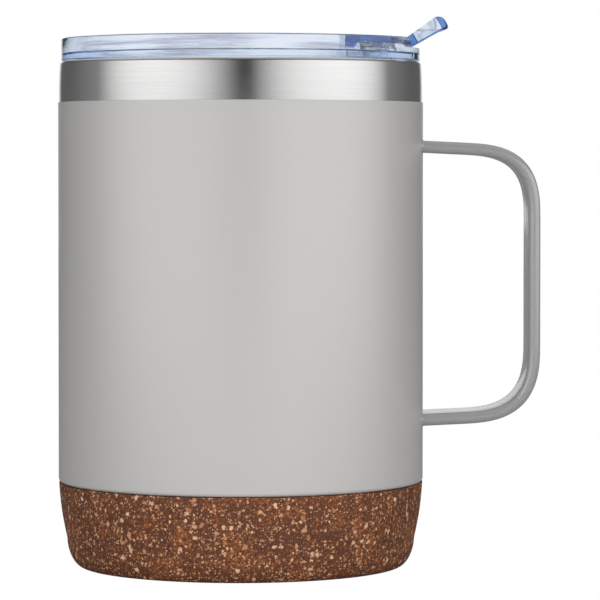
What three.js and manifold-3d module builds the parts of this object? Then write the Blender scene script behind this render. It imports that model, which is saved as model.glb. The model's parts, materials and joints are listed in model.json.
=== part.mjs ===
// An insulated travel mug: a double-walled steel cup with a powder coat, a strap handle, a cork base,
// and a clear push-in lid whose flip closure has a thumb tab over the rim.
// Millimetres, +Z up. The origin is the middle of the foot, the handle points along +X.
import * as THREE from "three";
import { mergeVertices } from "three/addons/utils/BufferGeometryUtils.js";
import Module from "manifold-3d";

const wasm = await Module();
wasm.setup();

// ---- Driving dimensions -------------------------------------------------------------------------
const AROUND = 48; // facets round the mug's axis, so that all round pieces share their facets
const GAP = 0.1; // clearance between pieces that touch
const SHELL_R = 41.78; // bare outer wall
const MOUTH_Z = 116; // crest of the drinking lip
const STEEL_T = 0.5; // both walls
const COAT_T = 0.22;
const COAT_TOP_Z = 106.6; // above it the steel is bare
const SHOULDER_Z = 19.65; // underside of the shoulder that the cork meets
const CORK_T = 3; // cork's wall and, less the fit, its floor
const FOOT_R = 36.6; // flat part of the foot
const LINER_R = 38.1; // inside wall
const LINER_FLOOR_Z = 9;
const LIP_JOIN_R = 40.4; // where liner and shell are welded at the crest

const HANDLE = {
  width: 16, thick: 2.75, edge: 0.7, reach: 68.65, topZ: 97.9, lowZ: 32.75,
  slope: 2.9, upperR: 16.5, lowerR: 17.5, power: 2.8,
};

const LID = {
  r: 41.25, seatZ: MOUTH_Z + 0.2, topZ: 121.2, rimR: 38.2, ledgeZ: 117.9, wellR: 35.2, floorZ: 114.9,
  plateT: 1.8,
  skirtR: 37.5, skirtInnerR: 35, skirtZ: 107, grooveR: 36.3, grooveLowZ: 110.5, grooveTopZ: 113.9,
};
// The drinking slot runs down through a spout that stands on the lid's floor.
const SLOT = { x: 31.3, length: 14, width: 6.5, wall: 1.1, topZ: 118.65, lowZ: 112.1 };
const HINGE = { x: 25, z: 119.85, knuckleR: 1.5, trunnionR: 0.9, fit: 0.12 };
const FLAP = { halfWidth: 11, lowZ: 119.25, topZ: 121.35, bendX: 39.2 };
// The thumb tab rises from the bend at an angle and grows thicker. Its nose is round on top, with a
// small lip below, and its top is hollowed out between two side walls.
const TAB = {
  lift: 29.5, length: 9.45, baseT: 2.5, endT: 3.3, noseR: 2.0, lip: 0.35, lipLength: 2.4,
  halfWidth: 10, cornerR: 3.2,
};
const SCOOP = { from: 1.9, to: 7.9, halfWidth: 8.7, floorT: 0.8 };
const NOTCH = { halfWidth: 14.6, z: 118.95, easeR: 1.6, fromX: 30 }; // gap in the lid's rim for the flap
const EAR = { t: 2.6, r: 1.7, gap: 0.6 };
const VENT = { x: -25, r: 1 };

const rad = THREE.MathUtils.degToRad;

// ---- Materials ----------------------------------------------------------------------------------
const finish = (color, roughness, metalness, opacity = 1) =>
  new THREE.MeshStandardMaterial({ color, roughness, metalness, opacity, transparent: opacity < 1 });
const steel = finish(0xc9c9c9, 0.3, 1);
const coat = finish(0xb9b7b4, 0.55, 0);
const cork = finish(0x754d3c, 0.85, 0);
const copper = finish(0xb87350, 0.35, 1);
const glassBead = finish(0x9fb0a8, 0.2, 0);
const getterMetal = finish(0x5a5a5c, 0.7, 0.6);
const adhesive = finish(0xd8d4c6, 0.9, 0);
const clearPlastic = finish(0xb9cdea, 0.06, 0, 0.4);
const silicone = finish(0xe9eef2, 0.5, 0, 0.75);

// ---- Outlines -----------------------------------------------------------------------------------
// Points of a round corner about (x, y), from one angle to another, in degrees.
function arc(x, y, r, from, to, steps = 4) {
  return Array.from({ length: steps + 1 }, (_, i) => {
    const a = rad(from + ((to - from) * i) / steps);
    return new THREE.Vector2(x + r * Math.cos(a), y + r * Math.sin(a));
  });
}

const at = (x, y) => new THREE.Vector2(x, y);

// The line moved sideways by t: to its right where t is positive.
function offset(line, t) {
  const side = (a, b) => at(b.y - a.y, a.x - b.x).normalize();
  return line.map((p, i) => {
    const before = i > 0 ? side(line[i - 1], p) : side(p, line[i + 1]);
    const after = i < line.length - 1 ? side(p, line[i + 1]) : before;
    const mitre = before.clone().add(after).normalize();
    return p.clone().addScaledVector(mitre, t / mitre.dot(before));
  });
}

// Closed outline of a sheet: from the line to the line moved sideways by t.
const sheet = (line, t) => [...line, ...offset(line, t).reverse()];

function area(points) {
  return points.reduce((sum, p, i) => sum + p.cross(points[(i + 1) % points.length]), 0) / 2;
}

// ---- Solids -------------------------------------------------------------------------------------
function solid(geometry) {
  const bare = geometry.clone();
  bare.deleteAttribute("normal");
  bare.deleteAttribute("uv");
  const merged = mergeVertices(bare, 1e-4);
  return new wasm.Manifold(new wasm.Mesh({
    numProp: 3,
    vertProperties: new Float32Array(merged.attributes.position.array),
    triVerts: new Uint32Array(merged.index.array),
  }));
}

function geometryOf(manifold) {
  const { vertProperties, triVerts } = manifold.getMesh();
  const made = new THREE.BufferGeometry();
  made.setAttribute("position", new THREE.BufferAttribute(vertProperties, 3));
  made.setIndex(new THREE.BufferAttribute(triVerts, 1));
  made.computeVertexNormals();
  return made;
}

// A body of revolution about Z. The outline is closed on itself, with points (radius, height).
function turned(outline, segments = AROUND) {
  const ring = area(outline) > 0 ? [...outline] : [...outline].reverse();
  const onAxis = ring.findIndex((p, i) => p.x === 0 && ring[(i + 1) % ring.length].x === 0);
  const start = onAxis < 0 ? 0 : onAxis + 1;
  const ordered = ring.map((_, i) => ring[(i + start) % ring.length]);
  if (onAxis < 0) ordered.push(ordered[0]);
  return new THREE.LatheGeometry(ordered, segments).rotateX(Math.PI / 2);
}

// A flat outline in XY, raised from z0 to z1.
function raised(shape, z0, z1, curveSegments = 8) {
  const made = new THREE.ExtrudeGeometry(shape, { depth: z1 - z0, bevelEnabled: false, curveSegments });
  return made.translate(0, 0, z0);
}

// A side outline in XZ, made as wide as 2 * half along Y, with edges rounded by edge.
function sideways(shape, half, edge = 0, curveSegments = 8) {
  const bevel = { bevelThickness: edge, bevelSize: edge, bevelOffset: -edge, bevelSegments: 2 };
  const made = new THREE.ExtrudeGeometry(shape, {
    depth: 2 * (half - edge), bevelEnabled: edge > 0, curveSegments, ...bevel,
  });
  return made.translate(0, 0, edge - half).rotateX(Math.PI / 2);
}

function box(x0, x1, halfY, z0, z1) {
  return new THREE.BoxGeometry(x1 - x0, 2 * halfY, z1 - z0)
    .translate((x0 + x1) / 2, 0, (z0 + z1) / 2);
}

// A slot with round ends, its long side along Y.
function stadium(x, length, width) {
  const r = width / 2;
  const straight = length / 2 - r;
  return new THREE.Shape([
    ...arc(x, straight, r, 0, 180, 8),
    ...arc(x, -straight, r, 180, 360, 8),
  ]);
}

const group = new THREE.Group();

function add(name, geometry, material) {
  const mesh = new THREE.Mesh(geometry, material);
  mesh.name = name;
  group.add(mesh);
}

// ---- Outer shell, coat and closure plate ---------------------------------------------------------
const stepR = SHELL_R - CORK_T - GAP; // the shell steps in below the shoulder to hold the cork
const bottomZ = 4; // underside of the shell's turned-in foot
const plateR = 33; // opening that the closure plate is welded into

// Outer face of the shell from the foot's edge up to the welded lip.
const shellLow = [
  at(plateR, bottomZ),
  ...arc(stepR - 3, bottomZ + 3, 3, -90, 0, 3),
  at(stepR, SHOULDER_Z),
];
const shellWall = [
  ...arc(SHELL_R - 1.5, SHOULDER_Z + 1.5, 1.5, -90, 0, 3),
  at(SHELL_R, COAT_TOP_Z),
];
const shellLip = [
  at(SHELL_R, 109),
  at(SHELL_R - 0.13, 113),
  at(SHELL_R - 0.3, MOUTH_Z - 1),
  ...arc(SHELL_R - 1.2, MOUTH_Z - 0.9, 0.9, 10, 90, 2),
  at(LIP_JOIN_R, MOUTH_Z),
];
add("outer_shell", turned(sheet([...shellLow, ...shellWall, ...shellLip], -STEEL_T)), steel);

const coatInner = offset(shellWall, 0.03);
const handleWindows = [HANDLE.topZ, HANDLE.lowZ + HANDLE.thick].map((top) =>
  solid(box(SHELL_R - 3, SHELL_R + 3, HANDLE.width / 2 + GAP, top - HANDLE.thick - 0.4, top + 0.4)));
add("powder_coat", geometryOf(handleWindows.reduce(
  (whole, window) => whole.subtract(window),
  solid(turned(sheet(coatInner, COAT_T - 0.03))),
)), coat);

const sealHoleR = 1;
add("shell_base_plate", turned(sheet([
  at(sealHoleR, bottomZ + 1.9),
  at(2.8, bottomZ + 1),
  at(28, bottomZ + 1),
  at(30, bottomZ + 0.1),
  at(plateR - GAP, bottomZ + 0.1),
], -STEEL_T), 48), steel);

add("vacuum_seal_bead", turned([
  at(0, bottomZ + 0.5),
  at(1.9, bottomZ + 0.5),
  at(2.1, bottomZ + 0.9),
  at(0.8, bottomZ + 1.5),
  at(0, bottomZ + 1.5),
], 24), glassBead);

// Tablet that keeps the vacuum, strapped to the closure plate inside the gap.
const getter = { x: 15, r: 3.5, z0: bottomZ + 1.6, z1: bottomZ + 3.1 };
add("getter_tablet",
  new THREE.CylinderGeometry(getter.r, getter.r, getter.z1 - getter.z0, 32)
    .rotateX(Math.PI / 2).translate(getter.x, 0, (getter.z0 + getter.z1) / 2),
  getterMetal);
const clipReach = getter.r + 0.3;
add("getter_clip", sideways(new THREE.Shape(sheet([
  at(getter.x - clipReach - 2, getter.z0),
  at(getter.x - clipReach, getter.z0),
  at(getter.x - clipReach, getter.z1 + GAP),
  at(getter.x + clipReach, getter.z1 + GAP),
  at(getter.x + clipReach, getter.z0),
  at(getter.x + clipReach + 2, getter.z0),
], -0.3)), 1.5), steel);

// ---- Liner and its reflecting foil ---------------------------------------------------------------
const linerCorner = 8;
const linerLowR = 36;
// Inside face of the liner, from the middle of its floor up to the welded lip.
const linerInside = [
  at(0, LINER_FLOOR_Z),
  ...arc(linerLowR - linerCorner, LINER_FLOOR_Z + linerCorner, linerCorner, -90, 0),
  at(LINER_R, 32),
  at(LINER_R, MOUTH_Z - 2),
  ...arc(LINER_R + 1.9, MOUTH_Z - 1.9, 1.9, 180, 90, 3),
  at(LIP_JOIN_R, MOUTH_Z),
];
const linerOutside = offset(linerInside, STEEL_T);
add("inner_liner", turned([...linerInside, ...linerOutside.reverse()]), steel);

const foilR = LINER_R + STEEL_T + 0.3;
add("reflecting_foil", turned(sheet([at(foilR, 34), at(foilR, 109)], 0.2)), copper);

// ---- Handle --------------------------------------------------------------------------------------
// Outer edge of one corner, from the arm to the upright: a superellipse, sheared to follow the arm's
// slope. sign is 1 for the upper corner and -1 for the lower one.
function strapCorner(armZ, r, sign, steps = 10) {
  const { reach, slope, power } = HANDLE;
  return Array.from({ length: steps + 1 }, (_, i) => {
    const a = rad(90 - (90 * i) / steps);
    const x = reach - r + r * Math.cos(a) ** (2 / power);
    const armEdge = armZ - sign * Math.tan(rad(slope)) * (x - SHELL_R);
    return at(x, armEdge - sign * r * (1 - Math.sin(a) ** (2 / power)));
  });
}

// One bent strap, seen from the side. Its arms start inside the wall.
function strapSide() {
  const { topZ, lowZ, slope, upperR, lowerR, thick } = HANDLE;
  const inside = 3;
  const fall = inside * Math.tan(rad(slope));
  return new THREE.Shape(sheet([
    at(SHELL_R - inside, topZ + fall),
    ...strapCorner(topZ, upperR, 1),
    ...strapCorner(lowZ, lowerR, -1).reverse(),
    at(SHELL_R - inside, lowZ - fall),
  ], thick));
}

const shellOutside = solid(turned([
  at(0, 0), at(SHELL_R + GAP, 0), at(SHELL_R + GAP, MOUTH_Z), at(0, MOUTH_Z),
]));
add("handle", geometryOf(
  solid(sideways(strapSide(), HANDLE.width / 2, HANDLE.edge)).subtract(shellOutside),
), coat);

// ---- Cork base -----------------------------------------------------------------------------------
const corkTopZ = SHOULDER_Z - COAT_T - GAP;
const corkInnerR = stepR + 0.2;
const corkFloorZ = bottomZ - 0.4;
// The foot's edge is a quarter of an ellipse. Above it the wall flares out and bows a little.
const foot = { wide: 3.2, high: 4.4, topR: SHELL_R + 0.12, bow: 0.27 };
const footEdge = arc(0, 0, 1, -90, 0, 6)
  .map((p) => at(FOOT_R + foot.wide * p.x, foot.high * (1 + p.y)));
const wallFoot = footEdge[footEdge.length - 1];
const corkWall = [0.2, 0.4, 0.6, 0.8, 1].map((u) => at(
  wallFoot.x + (foot.topR - wallFoot.x) * u + foot.bow * Math.sin(Math.PI * u),
  wallFoot.y + (corkTopZ - 0.4 - wallFoot.y) * u,
));
add("cork_base", turned([
  at(0, 0),
  ...footEdge,
  ...corkWall,
  at(SHELL_R - 0.2, corkTopZ),
  at(corkInnerR, corkTopZ),
  ...arc(corkInnerR - 3, corkFloorZ + 3, 3, 0, -90, 3),
  at(0, corkFloorZ),
]), cork);

add("base_adhesive_pad", turned([
  at(0, corkFloorZ + 0.05),
  at(plateR - 1, corkFloorZ + 0.05),
  at(plateR - 1, bottomZ - 0.05),
  at(0, bottomZ - 0.05),
], 48), adhesive);

// ---- Lid -----------------------------------------------------------------------------------------
const plateLowZ = LID.floorZ - LID.plateT;
const lidTurned = solid(turned([
  at(0, LID.floorZ),
  at(0, plateLowZ),
  at(LID.skirtInnerR, plateLowZ),
  at(LID.skirtInnerR + 0.2, LID.skirtZ + 0.4),
  at(LID.skirtInnerR + 0.6, LID.skirtZ),
  at(LID.skirtR - 0.5, LID.skirtZ),
  at(LID.skirtR, LID.skirtZ + 0.6),
  at(LID.skirtR, LID.grooveLowZ),
  at(LID.grooveR, LID.grooveLowZ),
  at(LID.grooveR, LID.grooveTopZ),
  at(LID.skirtR, LID.grooveTopZ),
  at(LID.skirtR, LID.seatZ),
  at(LID.r - 0.3, LID.seatZ),
  at(LID.r, LID.seatZ + 0.3),
  ...arc(LID.r - 1.3, LID.topZ - 1.3, 1.3, 0, 90, 3),
  ...arc(LID.rimR + 0.4, LID.topZ - 0.4, 0.4, 90, 180, 2),
  at(LID.rimR, LID.ledgeZ + 0.4),
  at(LID.rimR - 0.4, LID.ledgeZ),
  at(LID.wellR + 0.3, LID.ledgeZ),
  at(LID.wellR, LID.ledgeZ - 0.3),
  at(LID.wellR, LID.floorZ + 0.5),
  at(LID.wellR - 0.5, LID.floorZ),
]));

// Two ears hold the flap's trunnions, one on each side of it.
const earMiddleY = FLAP.halfWidth + EAR.gap + EAR.t / 2;
const earSide = new THREE.Shape([
  at(HINGE.x + EAR.r, LID.floorZ - 0.5),
  ...arc(HINGE.x, HINGE.z, EAR.r, 0, 180, 8),
  at(HINGE.x - EAR.r, LID.floorZ - 0.5),
]);
const ear = (side) => solid(sideways(earSide, EAR.t / 2).translate(0, side * earMiddleY, 0));

// A round rod along Y on the hinge's axis.
const rod = (r, half) =>
  solid(new THREE.CylinderGeometry(r, r, 2 * half, 20).translate(HINGE.x, 0, HINGE.z));
const trunnionHole = rod(HINGE.trunnionR + HINGE.fit, earMiddleY + EAR.t);
const ventHole = solid(
  new THREE.CylinderGeometry(VENT.r, VENT.r, 10, 20)
    .rotateX(Math.PI / 2).translate(VENT.x, 0, LID.floorZ));
const spout = solid(raised(
  stadium(SLOT.x, SLOT.length + 2 * SLOT.wall, SLOT.width + 2 * SLOT.wall), SLOT.lowZ, SLOT.topZ));
const slotHole = solid(raised(
  stadium(SLOT.x, SLOT.length, SLOT.width), SLOT.lowZ - 1, LID.topZ));

// The gap's sides flare out with a round edge where they meet the rim's top.
const notchSide = [
  at(NOTCH.halfWidth, NOTCH.z),
  ...arc(NOTCH.halfWidth + NOTCH.easeR, LID.topZ - NOTCH.easeR, NOTCH.easeR, 180, 90, 3),
  at(NOTCH.halfWidth + NOTCH.easeR, LID.topZ + 2),
];
const notchFace = new THREE.Shape([...notchSide, ...notchSide.map((p) => at(-p.x, p.y)).reverse()]);
const rimNotch = solid(new THREE.ExtrudeGeometry(notchFace, { depth: LID.r, bevelEnabled: false })
  .rotateX(Math.PI / 2).rotateZ(Math.PI / 2).translate(NOTCH.fromX, 0, 0));
add("lid_body", geometryOf(
  lidTurned.add(spout).add(ear(1)).add(ear(-1))
    .subtract(slotHole).subtract(rimNotch).subtract(trunnionHole).subtract(ventHole),
), clearPlastic);

// Silicone ring in the skirt's groove, with two soft fins that wipe the liner.
const sealInnerR = LID.grooveR + 0.15;
const finR = LINER_R - 0.2;
const bandR = LID.skirtR + 0.05;
add("lid_gasket", turned([
  at(sealInnerR, LID.grooveLowZ + GAP),
  at(bandR - 0.3, LID.grooveLowZ + GAP),
  at(finR, LID.grooveLowZ + 0.7),
  at(finR, LID.grooveLowZ + 1),
  at(bandR, LID.grooveLowZ + 1.2),
  at(bandR, LID.grooveLowZ + 2.1),
  at(finR, LID.grooveLowZ + 2.4),
  at(finR, LID.grooveLowZ + 2.7),
  at(bandR - 0.3, LID.grooveTopZ - GAP),
  at(sealInnerR, LID.grooveTopZ - GAP),
]), silicone);

// ---- Flip closure --------------------------------------------------------------------------------
// A point of the thumb tab: s along its underside from the bend, t above it.
function onTab(s, t) {
  const lift = rad(TAB.lift);
  return at(
    FLAP.bendX + s * Math.cos(lift) - t * Math.sin(lift),
    FLAP.lowZ + s * Math.sin(lift) + t * Math.cos(lift),
  );
}

// Side outline: a knuckle on the hinge's axis, a flat tongue, and a thumb tab bent up over the rim.
function flapSide() {
  const nose = arc(TAB.length - TAB.noseR, TAB.endT - TAB.noseR, TAB.noseR, 0, 90, 5);
  const base = onTab(0, TAB.baseT);
  const noseTop = onTab(TAB.length - TAB.noseR, TAB.endT);
  const overBendX = base.x - ((base.y - FLAP.topZ) * (noseTop.x - base.x)) / (noseTop.y - base.y);
  return new THREE.Shape([
    at(HINGE.x + HINGE.knuckleR + 0.5, FLAP.lowZ),
    at(FLAP.bendX, FLAP.lowZ),
    onTab(TAB.length - TAB.lipLength, 0),
    onTab(TAB.length - 0.5, -TAB.lip),
    onTab(TAB.length, -TAB.lip + 0.2),
    ...nose.map((p) => onTab(p.x, p.y)),
    at(overBendX, FLAP.topZ),
    at(HINGE.x + 1, FLAP.topZ),
    ...arc(HINGE.x, HINGE.z, HINGE.knuckleR, 75, 330, 10),
  ]);
}

// Plan outline: straight sides that narrow a little into a thumb tab with round corners.
const tipX = onTab(TAB.length, 0).x;
const narrowX = FLAP.bendX - 5;
const planSide = [
  at(HINGE.x - 3, -FLAP.halfWidth),
  at(narrowX, -FLAP.halfWidth),
  at(FLAP.bendX, -TAB.halfWidth),
  ...arc(tipX - TAB.cornerR, TAB.cornerR - TAB.halfWidth, TAB.cornerR, -90, 0, 5),
];
const flapPlan = new THREE.Shape([...planSide, ...planSide.map((p) => at(p.x, -p.y)).reverse()]);
const scoopDepth = 5;
const scoop = solid(new THREE.BoxGeometry(SCOOP.to - SCOOP.from, 2 * SCOOP.halfWidth, scoopDepth)
  .translate((SCOOP.from + SCOOP.to) / 2, 0, SCOOP.floorT + scoopDepth / 2)
  .rotateY(-rad(TAB.lift)).translate(FLAP.bendX, 0, FLAP.lowZ));
const spigot = { length: 9, width: 2.4, z: FLAP.lowZ - 1.1 }; // holds the stopper on the flap
add("flip_closure", geometryOf(
  solid(sideways(flapSide(), FLAP.halfWidth))
    .intersect(solid(raised(flapPlan, FLAP.lowZ - 3, FLAP.topZ + 10)))
    .subtract(scoop)
    .add(solid(raised(stadium(SLOT.x, spigot.length, spigot.width), spigot.z, FLAP.lowZ + 0.5)))
    .add(rod(HINGE.trunnionR, earMiddleY + EAR.t / 2)),
), clearPlastic);

// Silicone stopper: a flange that covers the slot and a plug that fills its mouth.
const plugFit = 0.35;
const stopperTopZ = FLAP.lowZ - 0.05;
add("stopper_seal", geometryOf(
  solid(raised(stadium(SLOT.x, SLOT.length + 1.8, SLOT.width + 1.8), SLOT.topZ + 0.05, stopperTopZ))
    .add(solid(raised(
      stadium(SLOT.x, SLOT.length - 2 * plugFit, SLOT.width - 2 * plugFit),
      SLOT.topZ - 1, SLOT.topZ + 0.5)))
    .subtract(solid(raised(
      stadium(SLOT.x, spigot.length + 0.2, spigot.width + 0.2), spigot.z - 0.1, FLAP.topZ))),
), silicone);

export default group;
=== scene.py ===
"""The visible model of an insulated camp mug: brushed steel, powder coat, cork foot and clear lid."""

import json
import math

import bmesh
import bpy
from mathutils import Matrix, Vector


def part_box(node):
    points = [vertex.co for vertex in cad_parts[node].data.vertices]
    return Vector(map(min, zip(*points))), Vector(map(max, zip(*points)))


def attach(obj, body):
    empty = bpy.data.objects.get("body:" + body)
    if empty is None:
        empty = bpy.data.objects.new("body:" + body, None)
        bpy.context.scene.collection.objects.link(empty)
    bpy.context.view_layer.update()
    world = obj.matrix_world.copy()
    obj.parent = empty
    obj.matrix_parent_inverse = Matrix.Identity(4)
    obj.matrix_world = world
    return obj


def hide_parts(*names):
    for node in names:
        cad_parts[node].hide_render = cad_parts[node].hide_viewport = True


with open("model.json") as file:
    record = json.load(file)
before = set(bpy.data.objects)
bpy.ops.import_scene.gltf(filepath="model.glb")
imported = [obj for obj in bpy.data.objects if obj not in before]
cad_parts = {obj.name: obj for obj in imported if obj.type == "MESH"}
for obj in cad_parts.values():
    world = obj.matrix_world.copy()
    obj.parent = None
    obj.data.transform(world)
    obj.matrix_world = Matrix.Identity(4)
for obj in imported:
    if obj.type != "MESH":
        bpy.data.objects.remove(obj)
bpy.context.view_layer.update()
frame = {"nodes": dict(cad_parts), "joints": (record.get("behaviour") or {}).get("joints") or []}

MM = 0.001  # lengths below are in millimetres, unless a comment says metres
AROUND = 192  # facets round the mug's axis
CREASE = 35  # edges sharper than this many degrees stay sharp to the eye
ON_AXIS = 1e-9  # a radius below this counts as zero
WHITE = (1.0, 1.0, 1.0)


def cad(node):
    """Lowest and highest corners of a CAD node, in millimetres."""
    low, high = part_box(node)
    return low / MM, high / MM


shell_low, shell_high = cad("outer_shell")
coat_low, coat_high = cad("powder_coat")
lid_low, lid_high = cad("lid_body")
gasket_low, gasket_high = cad("lid_gasket")
stopper_low, stopper_high = cad("stopper_seal")
liner_low = cad("inner_liner")[0]
flap_low = cad("flip_closure")[0]
cork_high = cad("cork_base")[1]
handle_high = cad("handle")[1]
hinge = next(joint for joint in frame["joints"] if joint["name"] == "flip_hinge")
HINGE_X, HINGE_Z = hinge["pos_m"][0] / MM, hinge["pos_m"][2] / MM  # the flip closure's axis

SHELL_R, MOUTH_Z = shell_high.x, shell_high.z
COAT_R, COAT_TOP_Z = coat_high.x, coat_high.z
COAT_T = COAT_R - SHELL_R
LID_R = lid_high.x


# ---- Camera --------------------------------------------------------------------------------------
CAMERA_PLACE = (0, -793.0, 93.2)
CAMERA_DOWN, CAMERA_RIGHT = 1.5, 0.9875  # how many degrees it looks down, and to the right
CAMERA_LENS, CAMERA_SENSOR, CAMERA_SHIFT = 206.2, 36.0, -0.082


def make_camera():
    """At the height of the coat's upper half, looking along +Y with the handle to the right."""
    data = bpy.data.cameras.new("camera")
    data.lens = CAMERA_LENS
    data.sensor_width = CAMERA_SENSOR
    data.shift_y = CAMERA_SHIFT
    camera = bpy.data.objects.new("camera", data)
    camera.location = Vector(CAMERA_PLACE) * MM
    camera.rotation_euler = (math.radians(90 - CAMERA_DOWN), 0, math.radians(-CAMERA_RIGHT))
    bpy.context.scene.collection.objects.link(camera)
    bpy.context.scene.camera = camera


make_camera()


# ---- Outlines ------------------------------------------------------------------------------------
def arc(x, y, r, start, end, steps=8):
    """Points of an arc about (x, y), from one angle to another, in degrees."""
    angles = [math.radians(start + (end - start) * i / steps) for i in range(steps + 1)]
    return [(x + r * math.cos(a), y + r * math.sin(a)) for a in angles]


def rounded(x, y, r, start, end, steps=8):
    """The quarter turn, from one angle to another, that rounds the corner at (x, y)."""
    middle = math.radians((start + end) / 2)
    across = math.copysign(r, math.cos(middle))
    up = math.copysign(r, math.sin(middle))
    return arc(x - across, y - up, r, start, end, steps)


def offset(line, t):
    """The line moved sideways by t: to its right where t is positive."""
    points = [Vector(p) for p in line]

    def side(a, b):
        """Unit vector to the right of the way from a to b."""
        d = (b - a).normalized()
        return Vector((d.y, -d.x))

    moved = []
    for i, p in enumerate(points):
        before = side(points[i - 1], p) if i else side(p, points[i + 1])
        after = side(p, points[i + 1]) if i < len(points) - 1 else before
        mitre = (before + after).normalized()
        moved.append(tuple(p + mitre * (t / mitre.dot(before))))
    return moved


def sheet(line, t):
    """Closed outline of a sheet of thickness t beside the line."""
    return line + offset(line, t)[::-1]


def area(outline):
    """Area inside a closed outline: positive where it runs anticlockwise."""
    pairs = zip(outline, outline[1:] + outline[:1])
    return sum(a[0] * b[1] - b[0] * a[1] for a, b in pairs) / 2


# ---- Meshes --------------------------------------------------------------------------------------
def mesh_object(name, verts, faces, crease=CREASE):
    """A new mesh from points in millimetres, with its faces turned outwards."""
    mesh = bpy.data.meshes.new(name)
    mesh.from_pydata([Vector(v) * MM for v in verts], [], faces)
    mesh.validate()
    shaped = bmesh.new()
    shaped.from_mesh(mesh)
    bmesh.ops.recalc_face_normals(shaped, faces=shaped.faces)
    shaped.to_mesh(mesh)
    shaped.free()
    finish_shading(mesh, crease)
    made = bpy.data.objects.new(name, mesh)
    bpy.context.scene.collection.objects.link(made)
    return made


def finish_shading(mesh, crease=CREASE):
    """Shades a mesh smooth, apart from edges sharper than crease degrees."""
    mesh.polygons.foreach_set("use_smooth", [True] * len(mesh.polygons))
    mesh.set_sharp_from_angle(angle=math.radians(crease))
    mesh.update()


def turned(name, outline):
    """A body of revolution about Z. The outline is closed on itself, with points (radius, height)."""
    ring = list(outline) if area(outline) > 0 else list(outline)[::-1]
    verts, columns = [], []
    for r, z in ring:
        if r < ON_AXIS:
            columns.append([len(verts)] * AROUND)
            verts.append((0, 0, z))
            continue
        columns.append(list(range(len(verts), len(verts) + AROUND)))
        for k in range(AROUND):
            a = 2 * math.pi * k / AROUND
            verts.append((r * math.cos(a), r * math.sin(a), z))
    faces = []
    for i, lower in enumerate(columns):
        after = (i + 1) % len(columns)
        upper = columns[after]
        if ring[i][0] < ON_AXIS and ring[after][0] < ON_AXIS:
            continue
        for k in range(AROUND):
            n = (k + 1) % AROUND
            corners = [lower[k], lower[n], upper[n], upper[k]]
            faces.append(list(dict.fromkeys(corners)))
    return mesh_object(name, verts, faces)


def skinned(name, rings, crease=CREASE):
    """A tube through rings of equally many points, closed by a face at each end."""
    count = len(rings[0])
    verts = [p for ring in rings for p in ring]
    faces = []
    for i in range(len(rings) - 1):
        for k in range(count):
            n = (k + 1) % count
            a, b = i * count, (i + 1) * count
            faces.append([a + k, a + n, b + n, b + k])
    faces.append(list(range(count))[::-1])
    faces.append(list(range((len(rings) - 1) * count, len(rings) * count)))
    return mesh_object(name, verts, faces, crease)


def slot_shaped(name, x, levels, length, width):
    """A body with a slot-shaped plan, long along Y. levels holds pairs (z, outward offset)."""
    r, straight = width / 2, (length - width) / 2
    rings = []
    for z, grow in levels:
        ends = arc(x, straight, r + grow, 0, 180, steps=20)
        ends += arc(x, -straight, r + grow, 180, 360, steps=20)
        rings.append([(px, py, z) for px, py in ends])
    return skinned(name, rings)


def prism(name, outline, low, high, along="y"):
    """A flat outline made solid: an XZ outline along Y, or an XY outline along Z."""
    rings = []
    for level in (low, high):
        rings.append([(u, level, v) if along == "y" else (u, v, level) for u, v in outline])
    return skinned(name, rings)


def ease(made, width):
    """Rounds the edges that are sharper than 30 degrees."""
    step = made.modifiers.new("ease", "BEVEL")
    step.width = width * MM
    step.segments = 3
    step.limit_method = "ANGLE"
    step.angle_limit = math.radians(30)
    bake_modifiers(made)
    return made


def combine(base, other, operation):
    """Joins other to base, or cuts it out of base, or keeps what both share, and deletes other."""
    step = base.modifiers.new(operation, "BOOLEAN")
    step.operation = operation
    step.solver = "EXACT"
    step.object = other
    bake_modifiers(base)
    bpy.data.objects.remove(other)


def bake_modifiers(made):
    """Replaces a mesh by what its modifiers make of it."""
    bpy.context.view_layer.update()
    evaluated = made.evaluated_get(bpy.context.evaluated_depsgraph_get())
    mesh = bpy.data.meshes.new_from_object(evaluated)
    made.modifiers.clear()
    made.data = mesh
    finish_shading(mesh)


def paint(made, material):
    """Gives a mesh its one material."""
    made.data.materials.clear()
    made.data.materials.append(material)


def piece(made, body, nodes, material):
    """Gives a mesh its material and its body, and hides the CAD nodes that it stands for."""
    paint(made, material)
    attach(made, body)
    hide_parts(*nodes)


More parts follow.
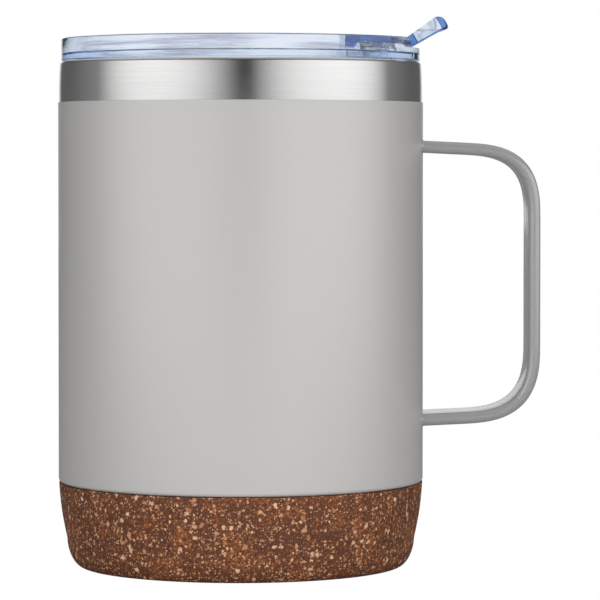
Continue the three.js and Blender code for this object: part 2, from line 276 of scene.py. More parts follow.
# ---- Material tools ------------------------------------------------------------------------------
class Nodes:
    """Short ways to build one material's nodes."""

    def __init__(self, name):
        self.material = bpy.data.materials.new(name)
        self.material.use_nodes = True
        self.tree = self.material.node_tree
        self.shader = self.tree.nodes["Principled BSDF"]
        self.output = self.tree.nodes["Material Output"]
        coordinates = self.add("ShaderNodeTexCoord")
        self.place = coordinates.outputs["Object"]
        self.facing = coordinates.outputs["Normal"]

    def add(self, kind, **settings):
        """A new node, with its settings."""
        node = self.tree.nodes.new(kind)
        for key, value in settings.items():
            setattr(node, key, value)
        return node

    def feed(self, socket, value):
        """Links another node's output to the socket, or sets the socket to a value."""
        if isinstance(value, bpy.types.NodeSocket):
            self.tree.links.new(value, socket)
        elif isinstance(value, tuple) and socket.type == "RGBA":
            socket.default_value = (*value, 1)
        else:
            socket.default_value = value

    def fill(self, node, **values):
        """Feeds a node's sockets by name, with _ for each space."""
        for key, value in values.items():
            self.feed(node.inputs[key.replace("_", " ")], value)

    def set(self, **values):
        """Feeds the shader's sockets by name."""
        self.fill(self.shader, **values)

    def stretched(self, *scale):
        """Object coordinates, scaled by x, y and z."""
        node = self.add("ShaderNodeMapping")
        self.fill(node, Vector=self.place, Scale=scale)
        return node.outputs["Vector"]

    def warped(self, swirl_mm, reach_mm):
        """Object coordinates pushed about by up to reach_mm, in swirls of about swirl_mm."""
        swirl = self.add("ShaderNodeTexNoise")
        self.fill(swirl, Vector=self.place, Scale=1 / (swirl_mm * MM), Detail=3.0, Roughness=0.7)
        node = self.add("ShaderNodeVectorMath", operation="MULTIPLY_ADD")
        self.feed(node.inputs[0], swirl.outputs["Color"])
        self.feed(node.inputs[1], (reach_mm * MM,) * 3)
        self.feed(node.inputs[2], self.place)
        return node.outputs[0]

    def noise(self, size_mm, detail=3.0, roughness=0.5, place=None, distortion=0.0):
        """Noise whose lumps are about size_mm across."""
        node = self.add("ShaderNodeTexNoise")
        self.fill(node, Vector=place or self.place, Scale=1 / (size_mm * MM), Detail=detail,
                  Roughness=roughness, Distortion=distortion)
        return node.outputs["Fac"]

    def cells(self, size_mm, place):
        """Voronoi cells about size_mm across: the distance to the middle and a random colour."""
        node = self.add("ShaderNodeTexVoronoi")
        self.fill(node, Vector=place, Scale=1 / (size_mm * MM))
        return node.outputs["Distance"], node.outputs["Color"]

    def ramp(self, value, *stops):
        """A colour ramp with stops (position, grey or colour)."""
        node = self.add("ShaderNodeValToRGB")
        elements = node.color_ramp.elements
        while len(elements) < len(stops):
            elements.new(0.5)
        for element, (position, colour) in zip(elements, stops):
            rgb = colour if isinstance(colour, tuple) else (colour,) * 3
            element.position = position
            element.color = (*rgb, 1)
        self.feed(node.inputs["Fac"], value)
        return node.outputs["Color"]

    def mix(self, factor, a, b, blend="MIX"):
        """Colour a where the factor is 0, and b blended with it where the factor is 1."""
        node = self.add("ShaderNodeMix", data_type="RGBA", blend_type=blend)
        for number, value in ((0, factor), (6, a), (7, b)):
            self.feed(node.inputs[number], value)
        return node.outputs[2]

    def math(self, operation, a, b=0.0):
        """The result of a sum on one or two values."""
        node = self.add("ShaderNodeMath", operation=operation)
        self.feed(node.inputs[0], a)
        self.feed(node.inputs[1], b)
        return node.outputs[0]

    def around(self, middle, span, noise):
        """A value that follows the noise, within a span about its middle."""
        return self.math("ADD", self.math("MULTIPLY", noise, span), middle - span / 2)

    def bump(self, height, depth_mm, strength=1.0):
        """Normals of a surface that a height from 0 to 1 raises by up to depth_mm."""
        node = self.add("ShaderNodeBump")
        self.fill(node, Height=height, Distance=depth_mm * MM, Strength=strength)
        return node.outputs["Normal"]


# ---- Materials -----------------------------------------------------------------------------------
def powder_coat_material(name, colour, roughness, gloss, sheen, grain_mm, depth_mm, grain_tone):
    """Warm grey powder coat with a little metal in it, and a fine sandy grain."""
    n = Nodes(name)
    grain = n.noise(grain_mm, detail=2.0, roughness=0.6)
    tone = n.ramp(grain, (0.35, 1 - grain_tone), (0.5, 1.0), (0.68, 1 + grain_tone))
    n.set(Base_Color=n.mix(1.0, colour, tone, "MULTIPLY"), Metallic=0.15, IOR=1.5,
          Roughness=n.around(roughness, 0.1, grain), Specular_IOR_Level=1.0,
          Coat_Weight=gloss, Coat_Roughness=0.6 * roughness, Sheen_Weight=sheen, Sheen_Roughness=0.4,
          Normal=n.bump(grain, depth_mm))
    return n.material


def brushed_steel_material():
    """Stainless steel brushed round the mug's axis: fine lines that smear highlights up and down."""
    n = Nodes("brushed_steel")
    lines = n.noise(1.0, detail=4.0, roughness=0.65, place=n.stretched(0.04, 0.04, 9.0))
    scratches = n.noise(1.0, detail=2.0, place=n.stretched(0.12, 0.12, 3.5))
    tangent = n.add("ShaderNodeTangent", direction_type="RADIAL", axis="Z")
    tone = n.ramp(lines, (0.25, (0.67, 0.67, 0.665)), (0.75, (0.755, 0.755, 0.75)))
    n.set(Base_Color=tone, Metallic=1.0, Anisotropic=0.7, Anisotropic_Rotation=0.25,
          Tangent=tangent.outputs[0], Roughness=n.around(0.2, 0.06, scratches),
          Normal=n.bump(lines, 0.0016))
    return n.material


# Layers of cork flecks: cell size, share of the cells that are flecks, how far a fleck reaches
# from its middle, how far its edge is warped, and its darkest and lightest colours.
FLECKS = (
    (0.5, 0.42, 0.38, 0.5, (0.36, 0.14, 0.05), (0.95, 0.58, 0.34)),
    (0.9, 0.38, 0.38, 1.0, (0.42, 0.15, 0.05), (1.0, 0.60, 0.32)),
    (1.6, 0.28, 0.36, 1.7, (0.55, 0.21, 0.08), (1.0, 0.70, 0.44)),
)


def cork_material():
    """Dark agglomerated cork: a plum-brown binder, rust clouds, and tan and cream flecks."""
    n = Nodes("cork")
    fine = n.noise(0.35, detail=4.0, roughness=0.75)
    specks = n.noise(0.75, detail=4.0, roughness=0.7, distortion=0.8)
    clusters = n.noise(6.0, detail=2.0)
    binder = n.ramp(fine, (0.30, (0.072, 0.027, 0.018)), (0.5, (0.130, 0.048, 0.028)),
                    (0.62, (0.23, 0.092, 0.050)), (0.72, (0.36, 0.16, 0.09)))
    rust = n.ramp(fine, (0.35, (0.22, 0.058, 0.014)), (0.65, (0.60, 0.20, 0.06)))
    clouds = n.math("ADD", specks, n.math("MULTIPLY", clusters, 0.35))
    colour = n.mix(n.ramp(clouds, (0.69, 0.0), (0.80, 0.9)), binder, rust)
    height = fine
    for size, share, reach, warp, dark, light in FLECKS:
        distance, tone = n.cells(size, n.warped(0.5 * size, warp))
        random = n.add("ShaderNodeSeparateColor")
        n.feed(random.inputs[0], tone)
        chosen = n.math("LESS_THAN", random.outputs[0], share)
        inside = n.ramp(distance, (reach - 0.08, 1.0), (reach, 0.0))
        fleck = n.math("MULTIPLY", inside, chosen)
        colour = n.mix(fleck, colour, n.mix(random.outputs[1], dark, light))
        height = n.math("ADD", height, n.math("MULTIPLY", fleck, 0.4))
    n.set(Base_Color=colour, Roughness=n.ramp(fine, (0.3, 0.6), (0.7, 0.85)), IOR=1.4,
          Specular_IOR_Level=0.4, Normal=n.bump(height, 0.05, strength=0.8))
    return n.material


def clear_plastic_material(name, density):
    """Polished clear copolyester: bluer where it is thicker, with grey and white streaks round its sides
    that are flow lines mixed with painted reflection.
    """
    n = Nodes(name)
    ripple = n.noise(9.0, detail=1.0)
    flow_and_reflection_noise = n.noise(1.0, detail=3.0, roughness=0.55, place=n.stretched(0.035, 0.035, 0.8))
    # Grey and white streaks on the side walls: painted reflection of the room's dark and bright parts,
    # mixed with flow lines.
    flow_and_reflection_streaks = n.ramp(flow_and_reflection_noise, (0.36, (0.62, 0.62, 0.68)), (0.48, (0.93, 0.92, 0.95)), (0.54, WHITE))
    normal = n.add("ShaderNodeSeparateXYZ")
    n.feed(normal.inputs[0], n.facing)
    flat = n.ramp(n.math("ABSOLUTE", normal.outputs[2]), (0.3, 0.0), (0.7, 1.0))
    n.set(Base_Color=n.mix(flat, flow_and_reflection_streaks, WHITE), Roughness=0.02, IOR=1.46, Transmission_Weight=1.0,
          Normal=n.bump(n.math("ADD", ripple, n.math("MULTIPLY", flow_and_reflection_noise, 0.5)), 0.04))
    volume = n.add("ShaderNodeVolumeAbsorption")
    n.fill(volume, Color=(0.10, 0.425, 0.79), Density=density)
    n.feed(n.output.inputs["Volume"], volume.outputs[0])
    return n.material


def silicone_material():
    """Milky soft silicone with a fine mould texture."""
    n = Nodes("silicone")
    grain = n.noise(0.5, detail=2.0)
    n.set(Base_Color=n.ramp(grain, (0.3, (0.90, 0.93, 0.95)), (0.7, (0.94, 0.96, 0.98))),
          Roughness=n.ramp(grain, (0.3, 0.08), (0.7, 0.16)), IOR=1.41, Transmission_Weight=0.95,
          Normal=n.bump(grain, 0.01))
    return n.material


def mottled_material(name, dark, light, metallic, roughness, size_mm, depth_mm):
    """A surface for the hidden pieces, mottled between two tones."""
    n = Nodes(name)
    mottle = n.noise(size_mm)
    n.set(Base_Color=n.ramp(mottle, (0.3, dark), (0.7, light)), Metallic=metallic,
          Roughness=n.ramp(mottle, (0.3, roughness), (0.7, roughness + 0.15)),
          Normal=n.bump(mottle, depth_mm))
    return n.material


steel = brushed_steel_material()
coat = powder_coat_material(
    "powder_coat", colour=(0.69, 0.68, 0.663), roughness=0.38, gloss=0.3, sheen=0.0,
    grain_mm=0.3, depth_mm=0.004, grain_tone=0.012)
# The strap has the body's powder coat; its darker base colour is painted shade.
strap_coat_painted_shade = powder_coat_material(
    "coated_steel", colour=(0.465, 0.452, 0.455), roughness=0.24, gloss=0.9, sheen=0.5,
    grain_mm=0.4, depth_mm=0.009, grain_tone=0.04)
cork = cork_material()
clear = clear_plastic_material("clear_lid", density=48.0)
clear_flap = clear_plastic_material("clear_flap", density=120.0)
silicone = silicone_material()
copper = mottled_material(
    "copper_foil", dark=(0.78, 0.42, 0.28), light=(0.93, 0.58, 0.42), metallic=1.0, roughness=0.22,
    size_mm=4.0, depth_mm=0.05)
getter_alloy = mottled_material(
    "getter_alloy", dark=(0.08, 0.08, 0.09), light=(0.2, 0.2, 0.21), metallic=0.6, roughness=0.6,
    size_mm=0.3, depth_mm=0.03)
solder_glass = mottled_material(
    "sealing_glass", dark=(0.2, 0.3, 0.26), light=(0.34, 0.42, 0.36), metallic=0.0, roughness=0.1,
    size_mm=0.8, depth_mm=0.01)
glue = mottled_material(
    "adhesive", dark=(0.62, 0.60, 0.50), light=(0.76, 0.74, 0.66), metallic=0.0, roughness=0.6,
    size_mm=3.0, depth_mm=0.05)


# ---- Steel walls and coat ------------------------------------------------------------------------
STEEL_T = 0.5
JOIN_R = 40.4  # where the shell and the liner meet on the lip
STEP_R, STEP_ROUND = SHELL_R - 3.1, 3.0  # the wall below the shoulder, inside the cork
SHOULDER_Z, SHOULDER_ROUND = coat_low.z + COAT_T, 0.7


def shell_outline():
    """The outer wall from its turned-in foot, over the shoulder on the cork, up to the rolled lip."""
    foot_r, neck_z, narrow_z, lip_r = 33.0, 110.0, 113.0, 0.9
    narrower, narrowest = SHELL_R - 0.08, SHELL_R - 0.2
    outside = [(foot_r, shell_low.z)]
    outside += rounded(STEP_R, shell_low.z, STEP_ROUND, -90, 0)
    outside += [(STEP_R, SHOULDER_Z)]
    outside += rounded(SHELL_R, SHOULDER_Z, SHOULDER_ROUND, -90, 0)
    outside += [(SHELL_R, COAT_TOP_Z), (SHELL_R, neck_z), (narrower, narrow_z), (narrowest, MOUTH_Z - 1)]
    outside += arc(narrowest - lip_r, MOUTH_Z - lip_r, lip_r, 5, 90)
    outside += [(JOIN_R, MOUTH_Z)]
    return sheet(outside, -STEEL_T)


def liner_outline():
    """The inner wall from the middle of its floor up to the lip."""
    floor_z, floor_r, floor_round = liner_low.z + STEEL_T, 36.0, 8.0
    wall_r, wall_z, lip_round = 38.1, 32.0, 1.9  # the wall is straight from wall_z up
    inside = [(0, floor_z)] + rounded(floor_r, floor_z, floor_round, -90, 0, steps=14)
    inside += [(wall_r, wall_z), (wall_r, MOUTH_Z - 2)]
    inside += rounded(wall_r, MOUTH_Z, lip_round, 180, 90)
    inside += [(JOIN_R, MOUTH_Z)]
    return sheet(inside, STEEL_T)


def coat_outline():
    """The coat's skin, with a soft edge where the masking ended."""
    gap, edge = 0.03, 0.1  # from the steel to the skin, and the rounding of its top edge
    middle = (SHELL_R - SHOULDER_ROUND, SHOULDER_Z + SHOULDER_ROUND)
    outside = arc(*middle, SHOULDER_ROUND + COAT_T, -90, 0, steps=12)
    top = rounded(COAT_R, COAT_TOP_Z, edge, 0, 90, steps=4) + [(SHELL_R + gap, COAT_TOP_Z)]
    inside = arc(*middle, SHOULDER_ROUND + gap, 0, -90, steps=12)
    return outside + top + inside


def make_walls():
    """The shell, the liner and the coat."""
    piece(turned("shell_wall", shell_outline()), "mug", ["outer_shell"], steel)
    piece(turned("liner_wall", liner_outline()), "mug", ["inner_liner"], steel)
    piece(turned("coat_skin", coat_outline()), "mug", ["powder_coat"], coat)


# ---- Cork foot -----------------------------------------------------------------------------------
def make_cork():
    """A moulded cup: rounded foot edge, a wall that flares and bows a little, and a soft top edge."""
    foot_r, edge_wide, edge_high, power = 36.6, 3.45, 6.5, 1.8  # the foot edge is a superellipse
    top_z, top_r, top_round, bow = cork_high.z, SHELL_R + 0.12, 0.12, 0.3
    inner_r, floor_z = STEP_R + 0.2, shell_low.z - 0.4
    wall_r, wall_top_z, wall_steps = foot_r + edge_wide, top_z - 0.14, 12
    edge = []
    for x, y in arc(0, 0, 1, -90, 0, steps=16):
        across, up = max(x, 0) ** (2 / power), 1 - max(-y, 0) ** (2 / power)
        edge.append((foot_r + edge_wide * across, edge_high * up))
    wall = []
    for i in range(1, wall_steps + 1):
        u = i / wall_steps
        r = wall_r + (top_r - wall_r) * u + bow * math.sin(math.pi * u)
        wall.append((r, edge_high + (wall_top_z - edge_high) * u))
    top = arc(top_r - top_round, top_z - top_round, top_round, 10, 90, steps=4) + [(inner_r, top_z)]
    floor = rounded(inner_r, floor_z, STEP_ROUND, 0, -90, steps=6) + [(0, floor_z)]
    outline = [(0, 0)] + edge + wall + top + floor
    piece(turned("cork_foot", outline), "mug", ["cork_base"], cork)


# ---- Handle --------------------------------------------------------------------------------------
STRAP_HALF_W, STRAP_HALF_T, STRAP_CROWN = 8.0, 1.375, 1.2
STRAP_FALL = math.tan(math.radians(2.9))  # how much each arm drops or climbs on its way out
UPPER_ARM_Z, UPPER_CORNER_R = 97.85, 16.5
LOWER_ARM_Z, LOWER_CORNER_R = 32.4, 17.5
CORNER_POWER = 2.8  # 2 would be a round corner
WELD_FILLET = 0.5
ARM_STEPS = (-0.4, 0.0, 0.1, 0.2, 0.35, WELD_FILLET, 3, 6, 8)  # how far each ring is from the coat


def strap_section(grow):
    """Outline (across, up) of the strap with flat faces, and sides that are half an ellipse."""
    half_w, half_t, crown = STRAP_HALF_W + grow, STRAP_HALF_T + grow, STRAP_CROWN + grow
    side = [(half_w - crown + crown * x, half_t * y) for x, y in arc(0, 0, 1, -90, 90, steps=10)]
    return side + [(-x, -y) for x, y in side]


def strap_corner(arm_z, r, sign):
    """Outer edge of one corner, from arm to upright: a superellipse sheared to the arm's slope."""
    points = []
    for x, y in arc(0, 0, 1, 90, 0, steps=24):
        x = handle_high.x - r + r * max(x, 0) ** (2 / CORNER_POWER)
        arm_edge = arm_z - sign * STRAP_FALL * (x - SHELL_R)
        points.append((x, arm_edge - sign * r * (1 - max(y, 0) ** (2 / CORNER_POWER))))
    return points


def strap_ring(centre, direction, grow=0.0, fit=0.0):
    """The strap's section across a direction. With fit from 0 to 1 it follows the wall's curve."""
    up = Vector((-direction.y, direction.x))
    ring = []
    for y, t in strap_section(grow):
        p = centre + up * t
        ring.append((p.x + fit * (math.sqrt(COAT_R**2 - y**2) - COAT_R), y, p.y))
    return ring


def strap_arm(start, direction):
    """Rings from inside the wall, through the weld's fillet, to where the bend starts."""
    rings = []
    for clear_of_wall in ARM_STEPS:
        reach = max(clear_of_wall, 0)
        inward = 1 - min(reach / WELD_FILLET, 1)
        grow = WELD_FILLET * (1 - math.sqrt(1 - inward**2))
        centre = start - direction * ((start.x - COAT_R - clear_of_wall) / direction.x)
        rings.append(strap_ring(centre, direction, grow, fit=1 - reach / (start.x - COAT_R)))
    return rings


def make_handle():
    """The strap: two arms and one bend, with ends shaped to the wall."""
    out = Vector((1, -STRAP_FALL)).normalized()
    back = Vector((-1, -STRAP_FALL)).normalized()
    outer = strap_corner(UPPER_ARM_Z, UPPER_CORNER_R, 1)
    outer += strap_corner(LOWER_ARM_Z, LOWER_CORNER_R, -1)[::-1]
    bend = [Vector(p) for p in offset(outer, STRAP_HALF_T)]
    rings = strap_arm(bend[0], out) + [strap_ring(bend[0], out)]
    for before, p, after in zip(bend, bend[1:], bend[2:]):
        rings.append(strap_ring(p, (after - before).normalized()))
    rings += [strap_ring(bend[-1], back)] + strap_arm(bend[-1], back)[::-1]
    piece(skinned("handle_strap", rings, crease=50), "mug", ["handle"], strap_coat_painted_shade)


# ---- Lid -----------------------------------------------------------------------------------------
LID_RIM_Z, LID_LEDGE_Z, LID_SEAT_Z = 121.2, 117.9, MOUTH_Z + 0.2
LID_FLOOR_Z, LID_PLATE_Z = 114.9, 113.1  # top and underside of the floor plate
LID_RIM_R, LID_WELL_R = 38.2, 35.2
SKIRT_R, SKIRT_INNER_R = 37.5, 35.0
GROOVE_R, GROOVE_LOW_Z, GROOVE_HIGH_Z = 36.3, 110.5, 113.9
SLOT_X, SLOT_LENGTH, SLOT_WIDTH = 31.3, 14.0, 6.5
SPOUT_T, SPOUT_TOP_Z = 1.1, 118.65
SPIGOT_LENGTH, SPIGOT_WIDTH = 9.0, 2.4
VENT_X, VENT_WIDTH = -25.0, 2.0
FLAP_LOW_Z, FLAP_TOP_Z, FLAP_HALF, FLAP_BEND_X = 119.25, 121.35, 11.0, 39.2
EAR_R, EAR_HALF_T = 1.7, 1.3
EAR_Y = FLAP_HALF + 0.6 + EAR_HALF_T  # middle of each ear
TRUNNION_R, KNUCKLE_R = 0.9, 1.5


def lid_outline():
    """Floor plate, skirt with its gasket groove, flange and rim, then ledge and well inside."""
    skirt_round, crisp = 0.6, 0.1
    line = [(0, LID_FLOOR_Z), (0, LID_PLATE_Z)]
    line += rounded(SKIRT_INNER_R, LID_PLATE_Z, skirt_round, 90, 0, steps=4)
    line += rounded(SKIRT_INNER_R + 0.2, lid_low.z, skirt_round, 180, 270, steps=4)
    line += rounded(SKIRT_R, lid_low.z, skirt_round, 270, 360, steps=4)
    line += [(SKIRT_R, GROOVE_LOW_Z), (GROOVE_R, GROOVE_LOW_Z)]
    line += [(GROOVE_R, GROOVE_HIGH_Z), (SKIRT_R, GROOVE_HIGH_Z)]
    line += rounded(SKIRT_R, LID_SEAT_Z, 0.4, 180, 90, steps=4)
    line += rounded(LID_R, LID_SEAT_Z, 0.15, 270, 360, steps=4)
    line += rounded(LID_R, LID_RIM_Z, 0.3, 0, 90)
    line += rounded(LID_RIM_R, LID_RIM_Z, crisp, 90, 180, steps=4)
    line += rounded(LID_RIM_R, LID_LEDGE_Z, crisp, 0, -90, steps=4)
    line += rounded(LID_WELL_R, LID_LEDGE_Z, crisp, 90, 180, steps=4)
    line += rounded(LID_WELL_R, LID_FLOOR_Z, 0.2, 0, -90, steps=4)
    return line


def rod(name, r, half):
    """A round rod along Y on the hinge's axis."""
    sides = 40
    return prism(name, arc(HINGE_X, HINGE_Z, r, 0, 360 - 360 / sides, steps=sides - 1), -half, half)


def notch_cutter():
    """Cuts the gap in the rim for the flap, with flared sides and round inner corners."""
    half, z, corner_r, flare = 14.6, 118.95, 0.6, 1.6
    inner_x, outer_x = 30.0, LID_R + 2
    side = rounded(half, z, corner_r, -90, 0, steps=5)
    side += arc(half + flare, LID_RIM_Z - flare, flare, 180, 90, steps=10)
    side += [(half + flare, LID_RIM_Z + 3)]
    outline = side + [(-y, v) for y, v in side[::-1]]
    return skinned("notch", [[(x, y, v) for y, v in outline] for x in (inner_x, outer_x)])


def make_lid():
    """The turned lid, with a spout, a slot through it, two ears, the notch for the flap and a vent."""
    lid = turned("lid_shell", lid_outline())
    spout = [(112.1, SPOUT_T - 0.5), (112.25, SPOUT_T - 0.15), (112.6, SPOUT_T),
             (SPOUT_TOP_Z - 0.3, SPOUT_T), (SPOUT_TOP_Z, SPOUT_T - 0.3)]
    combine(lid, slot_shaped("spout", SLOT_X, spout, SLOT_LENGTH, SLOT_WIDTH), "UNION")
    slot = [(111.5, 0), (118.15, 0), (118.45, 0.06), (118.6, 0.2), (SPOUT_TOP_Z + 0.1, 0.35), (120.5, 0.35)]
    combine(lid, slot_shaped("slot", SLOT_X, slot, SLOT_LENGTH, SLOT_WIDTH), "DIFFERENCE")
    foot, foot_z, ankle_z = EAR_R + 0.3, LID_FLOOR_Z - 0.5, LID_FLOOR_Z + 0.6
    post = [(HINGE_X + foot, foot_z), (HINGE_X + EAR_R, ankle_z)]
    post += arc(HINGE_X, HINGE_Z, EAR_R, 0, 180, steps=16)
    post += [(HINGE_X - EAR_R, ankle_z), (HINGE_X - foot, foot_z)]
    for y in (EAR_Y, -EAR_Y):
        combine(lid, ease(prism("ear", post, y - EAR_HALF_T, y + EAR_HALF_T), 0.25), "UNION")
    combine(lid, rod("trunnion_hole", TRUNNION_R + 0.12, EAR_Y + 3), "DIFFERENCE")
    combine(lid, notch_cutter(), "DIFFERENCE")
    vent = [(110, 0), (LID_FLOOR_Z - 0.2, 0), (LID_FLOOR_Z + 0.05, 0.3), (116.5, 0.3)]
    combine(lid, slot_shaped("vent", VENT_X, vent, VENT_WIDTH + 0.001, VENT_WIDTH), "DIFFERENCE")
    piece(lid, "lid", ["lid_body"], clear)


# ---- Flip closure --------------------------------------------------------------------------------
TAB_LIFT, TAB_LENGTH, TAB_HALF, TAB_CORNER = math.radians(29.5), 9.45, 10.0, 3.2
TAB_BASE_T, TAB_END_T, TAB_NOSE_R, TAB_LIP = 2.5, 3.3, 2.0, 0.35
SCOOP_START, SCOOP_END, SCOOP_FLOOR_T, SCOOP_HALF, SCOOP_DRAFT = 1.6, 7.7, 0.45, 8.7, 0.2


def on_tab(s, t):
    """A point (x, z) of the tab, s along its underside from the bend and t above it."""
    x = FLAP_BEND_X + s * math.cos(TAB_LIFT) - t * math.sin(TAB_LIFT)
    return x, FLAP_LOW_Z + s * math.sin(TAB_LIFT) + t * math.cos(TAB_LIFT)


def flap_side():
    """Side view: the tongue's underside, the tab with a lip under its tip, and the knuckle."""
    base = on_tab(0, TAB_BASE_T)
    nose_top = on_tab(TAB_LENGTH - TAB_NOSE_R, TAB_END_T)
    slope = (nose_top[0] - base[0]) / (nose_top[1] - base[1])
    side = [(HINGE_X + KNUCKLE_R + 0.5, FLAP_LOW_Z), (FLAP_BEND_X, FLAP_LOW_Z)]
    tip = ((2.4, 0), (1.4, -0.12), (0.6, -TAB_LIP), (0.15, 0.06 - TAB_LIP), (0, 0.3 - TAB_LIP))
    side += [on_tab(TAB_LENGTH - from_tip, t) for from_tip, t in tip]
    side += [on_tab(s, t) for s, t in rounded(TAB_LENGTH, TAB_END_T, TAB_NOSE_R, 0, 90, steps=12)]
    side += [(base[0] - (base[1] - FLAP_TOP_Z) * slope, FLAP_TOP_Z), (HINGE_X + 1, FLAP_TOP_Z)]
    return side + arc(HINGE_X, HINGE_Z, KNUCKLE_R, 80, 325, steps=24)


def flap_plan():
    """Plan: a straight tongue that narrows a little at the bend, and a tab with round corners."""
    plan = [(HINGE_X - 3, -FLAP_HALF), (FLAP_BEND_X - 5, -FLAP_HALF), (FLAP_BEND_X - 3.6, 0.2 - FLAP_HALF),
            (FLAP_BEND_X - 1.4, -0.2 - TAB_HALF), (FLAP_BEND_X, -TAB_HALF)]
    plan += rounded(on_tab(TAB_LENGTH, 0)[0], -TAB_HALF, TAB_CORNER, -90, 0, steps=10)
    return plan + [(x, -y) for x, y in plan[::-1]]


def make_flap():
    """A knuckle and a flat tongue over the slot, with a hollowed thumb tab bent up over the rim."""
    flap = prism("flip_tongue", flap_side(), -FLAP_HALF - 1, FLAP_HALF + 1)
    combine(flap, prism("plan", flap_plan(), FLAP_LOW_Z - 3, FLAP_TOP_Z + 10, along="z"), "INTERSECT")
    above = TAB_END_T + 2.7
    scoop = [on_tab(SCOOP_START, SCOOP_FLOOR_T), on_tab(SCOOP_END, SCOOP_FLOOR_T),
             on_tab(SCOOP_END + SCOOP_DRAFT, above), on_tab(SCOOP_START - SCOOP_DRAFT, above)]
    combine(flap, prism("scoop", scoop, -SCOOP_HALF, SCOOP_HALF), "DIFFERENCE")
    ease(flap, 0.35)
    combine(flap, ease(rod("trunnions", TRUNNION_R, EAR_Y + EAR_HALF_T), 0.15), "UNION")
    spigot = [(flap_low.z, -0.2), (flap_low.z + 0.2, 0), (FLAP_LOW_Z + 0.5, 0)]
    combine(flap, slot_shaped("spigot", SLOT_X, spigot, SPIGOT_LENGTH, SPIGOT_WIDTH), "UNION")
    piece(flap, "flip", ["flip_closure"], clear_flap)


def make_stopper():
    """Silicone plug: a flange over the slot and a plug with a soft edge, hollow for the spigot."""
    low, high, flange = stopper_low.z, stopper_high.z, SPOUT_TOP_Z + 0.05
    levels = [(low, -1.0), (low + 0.12, -0.6), (low + 0.4, -0.35), (flange, -0.35),
              (flange, 0.75), (flange + 0.12, 0.9), (high - 0.12, 0.9), (high, 0.75)]
    plug = slot_shaped("slot_stopper", SLOT_X, levels, SLOT_LENGTH, SLOT_WIDTH)
    socket = [(flap_low.z - 0.1, 0.1), (high + 1, 0.1)]
    combine(plug, slot_shaped("socket", SLOT_X, socket, SPIGOT_LENGTH, SPIGOT_WIDTH), "DIFFERENCE")
    piece(plug, "flip", ["stopper_seal"], silicone)


def make_gasket():
    """Silicone ring with two rounded wiping fins."""
    inner_r, band_r, fin_r = 36.45, 37.55, 37.9
    fin_round, fin_root = 0.18, 0.45  # half the height of a fin at its tip, and at its root
    low, high = gasket_low.z, gasket_high.z
    outline = [(inner_r, low), (band_r - 0.3, low)]
    for z in (low + 0.75, high - 0.75):
        outline.append((band_r - 0.1, z - fin_root))
        outline += arc(fin_r - fin_round, z, fin_round, -90, 90, steps=5)
        outline.append((band_r - 0.1, z + fin_root))
    outline += [(band_r - 0.3, high), (inner_r, high)]
    piece(turned("seal_ring", outline), "lid_seal", ["lid_gasket"], silicone)


make_walls()
make_cork()
make_handle()
make_lid()
make_flap()
make_stopper()
make_gasket()

# ---- Hidden pieces keep their CAD shape ----------------------------------------------------------
for node, material in (
    ("shell_base_plate", steel),
    ("getter_clip", steel),
    ("vacuum_seal_bead", solder_glass),
    ("getter_tablet", getter_alloy),
    ("reflecting_foil", copper),
    ("base_adhesive_pad", glue),
):
    paint(frame["nodes"][node], material)


# ---- Stage and light -----------------------------------------------------------------------------
DARK_FRONT, SIDES, BEHIND, CEILING = 0.04, 0.34, 0.15, 0.3  # how bright the room is, part by part
LIGHTS_FACE = (0, 0, 0.07)  # metres: the middle of the mug


def white_to_sight(tree, lit):
    """Pure white to whatever sees it straight or through glass, and the shader lit to all the rest."""
    path = tree.nodes.new("ShaderNodeLightPath")
    seen = tree.nodes.new("ShaderNodeMath")
    seen.operation = "MAXIMUM"
    tree.links.new(path.outputs["Is Camera Ray"], seen.inputs[0])
    tree.links.new(path.outputs["Is Transmission Ray"], seen.inputs[1])
    white = tree.nodes.new("ShaderNodeEmission")
    white.inputs["Color"].default_value = (*WHITE, 1)
    mix = tree.nodes.new("ShaderNodeMixShader")
    tree.links.new(seen.outputs[0], mix.inputs[0])
    tree.links.new(lit, mix.inputs[1])
    tree.links.new(white.outputs[0], mix.inputs[2])
    return mix.outputs[0]


def make_floor():
    """A plain floor that looks pure white, and throws only a little light back up."""
    half = 4.0  # metres
    corners = [(-half, -half, 0), (half, -half, 0), (half, half, 0), (-half, half, 0)]
    mesh = bpy.data.meshes.new("floor")
    mesh.from_pydata(corners, [], [(0, 1, 2, 3)])
    floor = bpy.data.objects.new("floor", mesh)
    bpy.context.scene.collection.objects.link(floor)
    n = Nodes("floor")
    n.set(Base_Color=(0.5, 0.5, 0.5), Roughness=1.0, Specular_IOR_Level=0.0)
    n.feed(n.output.inputs["Surface"], white_to_sight(n.tree, n.shader.outputs[0]))
    mesh.materials.append(n.material)


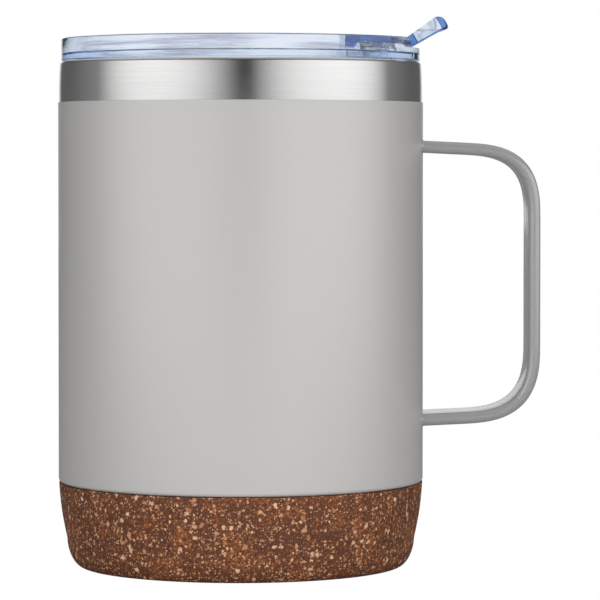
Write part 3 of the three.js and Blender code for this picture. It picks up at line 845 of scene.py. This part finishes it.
def make_world():
    """A studio that is dark in front, dim at the sides, pale above, and white behind."""
    world = bpy.data.worlds.new("studio")
    bpy.context.scene.world = world
    world.use_nodes = True
    tree = world.node_tree
    tree.nodes.clear()
    place = tree.nodes.new("ShaderNodeTexCoord")
    axes = tree.nodes.new("ShaderNodeSeparateXYZ")
    tree.links.new(place.outputs["Generated"], axes.inputs[0])
    glow = None
    # Each step changes the room's brightness between two angles: from the front (0) to the back
    # (180) along Y, or from straight down (0) to straight up (180) along Z. The steps add up.
    for axis, near, far, low, high in (
        ("Y", 40, 95, DARK_FRONT, SIDES),
        ("Y", 100, 145, 0.0, BEHIND - SIDES),
        ("Y", 160, 167, 0.0, 1.0 - BEHIND),
        ("Z", 120, 150, 0.0, CEILING),
    ):
        step = tree.nodes.new("ShaderNodeMapRange")
        step.interpolation_type = "SMOOTHSTEP"
        step.inputs["From Min"].default_value = -math.cos(math.radians(near))
        step.inputs["From Max"].default_value = -math.cos(math.radians(far))
        step.inputs["To Min"].default_value = low
        step.inputs["To Max"].default_value = high
        tree.links.new(axes.outputs[axis], step.inputs["Value"])
        if glow is None:
            glow = step.outputs["Result"]
            continue
        total = tree.nodes.new("ShaderNodeMath")
        tree.links.new(glow, total.inputs[0])
        tree.links.new(step.outputs["Result"], total.inputs[1])
        glow = total.outputs[0]
    studio = tree.nodes.new("ShaderNodeBackground")
    tree.links.new(glow, studio.inputs["Strength"])
    output = tree.nodes.new("ShaderNodeOutputWorld")
    tree.links.new(white_to_sight(tree, studio.outputs[0]), output.inputs["Surface"])


def soft_box(name, azimuth, elevation, distance, width, height, strength, feather, mirrored=True):
    """A soft box that faces the mug and fades to its sides, in metres. Azimuth 0 is in front."""
    data = bpy.data.lights.new(name, "AREA")
    data.shape = "RECTANGLE"
    data.size, data.size_y = width, height
    data.energy = strength * width * height * math.pi
    data.use_nodes = True
    tree = data.node_tree
    place = tree.nodes.new("ShaderNodeNewGeometry")
    across = tree.nodes.new("ShaderNodeSeparateXYZ")
    tree.links.new(place.outputs["Parametric"], across.inputs[0])
    glow = across.outputs[0]
    for operation, value in (("MULTIPLY", math.pi), ("SINE", 0.0), ("POWER", feather)):
        step = tree.nodes.new("ShaderNodeMath")
        step.operation = operation
        tree.links.new(glow, step.inputs[0])
        step.inputs[1].default_value = value
        glow = step.outputs[0]
    tree.links.new(glow, tree.nodes["Emission"].inputs["Strength"])
    lamp = bpy.data.objects.new(name, data)
    a, e = math.radians(azimuth), math.radians(elevation)
    away = Vector((math.sin(a) * math.cos(e), -math.cos(a) * math.cos(e), math.sin(e)))
    lamp.location = Vector(LIGHTS_FACE) + distance * away
    lamp.rotation_euler = away.to_track_quat("Z", "Y").to_euler()
    lamp.visible_camera = False
    lamp.visible_transmission = False
    lamp.visible_glossy = mirrored
    bpy.context.scene.collection.objects.link(lamp)


make_floor()
make_world()
soft_box("left_box", azimuth=-50.5, elevation=6, distance=1.3, width=3.2, height=1.1,
         strength=1.2, feather=1.5)
soft_box("right_box", azimuth=55.6, elevation=6, distance=1.3, width=3.05, height=1.1,
         strength=1.24, feather=1.05)
soft_box("key_box", azimuth=4, elevation=12, distance=1.4, width=1.8, height=0.6,
         strength=2.2, feather=0.4, mirrored=False)
soft_box("low_card", azimuth=3, elevation=-27, distance=0.13, width=0.16, height=0.03,
         strength=1.15, feather=0.2, mirrored=False)
scene = bpy.context.scene
scene.view_settings.view_transform = "Standard"
scene.cycles.max_bounces = 24
scene.cycles.glossy_bounces = 16
scene.cycles.transmission_bounces = 20
